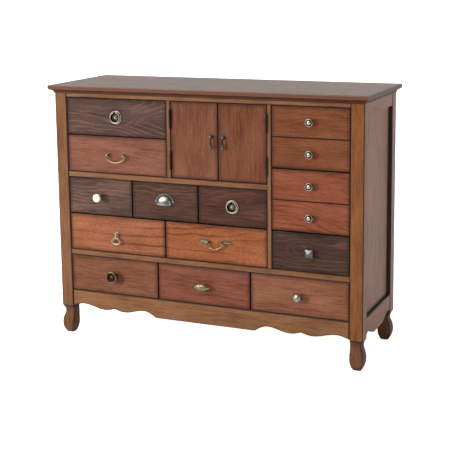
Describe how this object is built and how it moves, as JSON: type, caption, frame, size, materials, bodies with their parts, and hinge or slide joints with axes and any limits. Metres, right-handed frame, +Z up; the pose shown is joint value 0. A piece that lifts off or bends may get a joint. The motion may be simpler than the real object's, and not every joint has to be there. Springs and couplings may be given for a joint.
{
  "type": "accent chest",
  "caption": "Floor-standing wooden chest on shaped feet, with drawers of mixed sizes, a pair of hinged cabinet doors, scalloped aprons and a different pull on almost every front.",
  "frame": {"origin": "on the floor under the middle of the whole chest's bounding box", "axes": "+X to the right of someone facing the drawers, +Y to the back, +Z up"},
  "size_m": [1.176, 0.4226, 0.914],
  "materials": {
    "case_wood": "satin",
    "foot_wood": "satin",
    "inner_wood": "matte",
    "dark_front_wood": "satin",
    "red_front_wood": "satin",
    "orange_front_wood": "satin",
    "hinge_steel": "satin",
    "antique_silver": "satin",
    "antique_brass": "satin",
    "ivory": "gloss",
    "pewter": "satin",
    "dark_bronze": "satin",
    "green_pewter": "satin"
  },
  "bodies": {
    "case": {"top_board": "case_wood", "top_moulding": "case_wood", "front_left_post": "case_wood", "front_right_post": "case_wood", "rear_posts": "case_wood", "front_feet": "foot_wood", "rear_feet": "foot_wood", "front_apron": "case_wood", "side_aprons": "case_wood", "top_rail": "case_wood", "middle_rail": "case_wood", "lower_rail": "case_wood", "door_stile": "case_wood", "column_stile": "case_wood", "side_panels": "case_wood", "case_rails": "case_wood", "back_panel": "inner_wood", "partitions": "inner_wood", "dust_panels": "inner_wood", "door_stop": "inner_wood", "fixed_hinge_leaves": "hinge_steel"},
    "upper_left_drawer": {"upper_left_drawer": "dark_front_wood", "upper_rosette": "antique_silver"},
    "second_left_drawer": {"second_left_drawer": "red_front_wood", "bail_posts": "antique_brass"},
    "third_row_left_drawer": {"third_row_left_drawer": "dark_front_wood", "ivory_knob": "ivory"},
    "third_row_middle_drawer": {"third_row_middle_drawer": "dark_front_wood", "cup_pull": "pewter"},
    "third_row_right_drawer": {"third_row_right_drawer": "dark_front_wood", "middle_rosette": "antique_silver"},
    "fourth_row_left_drawer": {"fourth_row_left_drawer": "orange_front_wood", "drop_boss": "antique_silver"},
    "fourth_row_right_drawer": {"fourth_row_right_drawer": "orange_front_wood", "leaf_plates": "antique_brass"},
    "bottom_left_drawer": {"bottom_left_drawer": "red_front_wood", "dished_knob": "dark_bronze"},
    "bottom_middle_drawer": {"bottom_middle_drawer": "red_front_wood", "oval_knob": "antique_brass"},
    "bottom_right_drawer": {"bottom_right_drawer": "red_front_wood", "hammered_knob": "green_pewter"},
    "column_top_drawer": {"column_top_drawer": "red_front_wood", "column_top_knobs": "pewter"},
    "column_middle_drawer": {"column_middle_drawer": "red_front_wood", "column_middle_knobs": "pewter"},
    "column_low_drawer": {"column_low_drawer": "dark_front_wood", "square_knob": "pewter"},
    "left_door": {"left_door": "red_front_wood", "left_door_hinge_leaves": "hinge_steel", "left_pendant_boss": "pewter"},
    "right_door": {"right_door": "red_front_wood", "right_door_hinge_leaves": "hinge_steel", "right_pendant_boss": "pewter"},
    "upper_ring": {"upper_ring": "antique_silver"},
    "middle_ring": {"middle_ring": "antique_silver"},
    "bail": {"bail": "antique_brass"},
    "leaf_bail": {"leaf_bail": "antique_brass"},
    "drop_loop": {"drop_loop": "antique_silver"},
    "left_pendant": {"left_pendant": "pewter"},
    "right_pendant": {"right_pendant": "pewter"}
  },
  "joints": [
    {"name": "upper_left_drawer_slide", "type": "slide", "parent": "case", "child": "upper_left_drawer", "axis": [0, -1, 0], "range_m": [0, 0.25]},
    {"name": "second_left_drawer_slide", "type": "slide", "parent": "case", "child": "second_left_drawer", "axis": [0, -1, 0], "range_m": [0, 0.25]},
    {"name": "third_row_left_drawer_slide", "type": "slide", "parent": "case", "child": "third_row_left_drawer", "axis": [0, -1, 0], "range_m": [0, 0.25]},
    {"name": "third_row_middle_drawer_slide", "type": "slide", "parent": "case", "child": "third_row_middle_drawer", "axis": [0, -1, 0], "range_m": [0, 0.25]},
    {"name": "third_row_right_drawer_slide", "type": "slide", "parent": "case", "child": "third_row_right_drawer", "axis": [0, -1, 0], "range_m": [0, 0.25]},
    {"name": "fourth_row_left_drawer_slide", "type": "slide", "parent": "case", "child": "fourth_row_left_drawer", "axis": [0, -1, 0], "range_m": [0, 0.25]},
    {"name": "fourth_row_right_drawer_slide", "type": "slide", "parent": "case", "child": "fourth_row_right_drawer", "axis": [0, -1, 0], "range_m": [0, 0.25]},
    {"name": "bottom_left_drawer_slide", "type": "slide", "parent": "case", "child": "bottom_left_drawer", "axis": [0, -1, 0], "range_m": [0, 0.25]},
    {"name": "bottom_middle_drawer_slide", "type": "slide", "parent": "case", "child": "bottom_middle_drawer", "axis": [0, -1, 0], "range_m": [0, 0.25]},
    {"name": "bottom_right_drawer_slide", "type": "slide", "parent": "case", "child": "bottom_right_drawer", "axis": [0, -1, 0], "range_m": [0, 0.25]},
    {"name": "column_top_drawer_slide", "type": "slide", "parent": "case", "child": "column_top_drawer", "axis": [0, -1, 0], "range_m": [0, 0.25]},
    {"name": "column_middle_drawer_slide", "type": "slide", "parent": "case", "child": "column_middle_drawer", "axis": [0, -1, 0], "range_m": [0, 0.25]},
    {"name": "column_low_drawer_slide", "type": "slide", "parent": "case", "child": "column_low_drawer", "axis": [0, -1, 0], "range_m": [0, 0.25]},
    {"name": "left_door_hinge", "type": "hinge", "parent": "case", "child": "left_door", "pos_m": [-0.11525, -0.18225, 0.7395], "axis": [0, 0, -1], "range_deg": [0, 90]},
    {"name": "right_door_hinge", "type": "hinge", "parent": "case", "child": "right_door", "pos_m": [0.23705, -0.18225, 0.7395], "axis": [0, 0, 1], "range_deg": [0, 90]},
    {"name": "upper_ring_swing", "type": "hinge", "parent": "upper_left_drawer", "child": "upper_ring", "pos_m": [-0.32725, -0.18525, 0.8242], "axis": [-1, 0, 0], "range_deg": [-4, 170]},
    {"name": "middle_ring_swing", "type": "hinge", "parent": "third_row_right_drawer", "child": "middle_ring", "pos_m": [0.11125, -0.18525, 0.5382], "axis": [-1, 0, 0], "range_deg": [-4, 170]},
    {"name": "bail_swing", "type": "hinge", "parent": "second_left_drawer", "child": "bail", "pos_m": [-0.32725, -0.19125, 0.67275], "axis": [-1, 0, 0], "range_deg": [-20, 170]},
    {"name": "leaf_bail_swing", "type": "hinge", "parent": "fourth_row_right_drawer", "child": "leaf_bail", "pos_m": [0.04772, -0.19125, 0.39343], "axis": [-1, 0, 0], "range_deg": [-20, 170]},
    {"name": "drop_loop_swing", "type": "hinge", "parent": "fourth_row_left_drawer", "child": "drop_loop", "pos_m": [-0.33343, -0.18925, 0.39207], "axis": [-1, 0, 0], "range_deg": [-12, 170]},
    {"name": "left_pendant_swing", "type": "hinge", "parent": "left_door", "child": "left_pendant", "pos_m": [0.03915, -0.18925, 0.75653], "axis": [-1, 0, 0], "range_deg": [-9, 170]},
    {"name": "right_pendant_swing", "type": "hinge", "parent": "right_door", "child": "right_pendant", "pos_m": [0.08265, -0.18925, 0.75653], "axis": [-1, 0, 0], "range_deg": [-9, 170]}
  ]
}
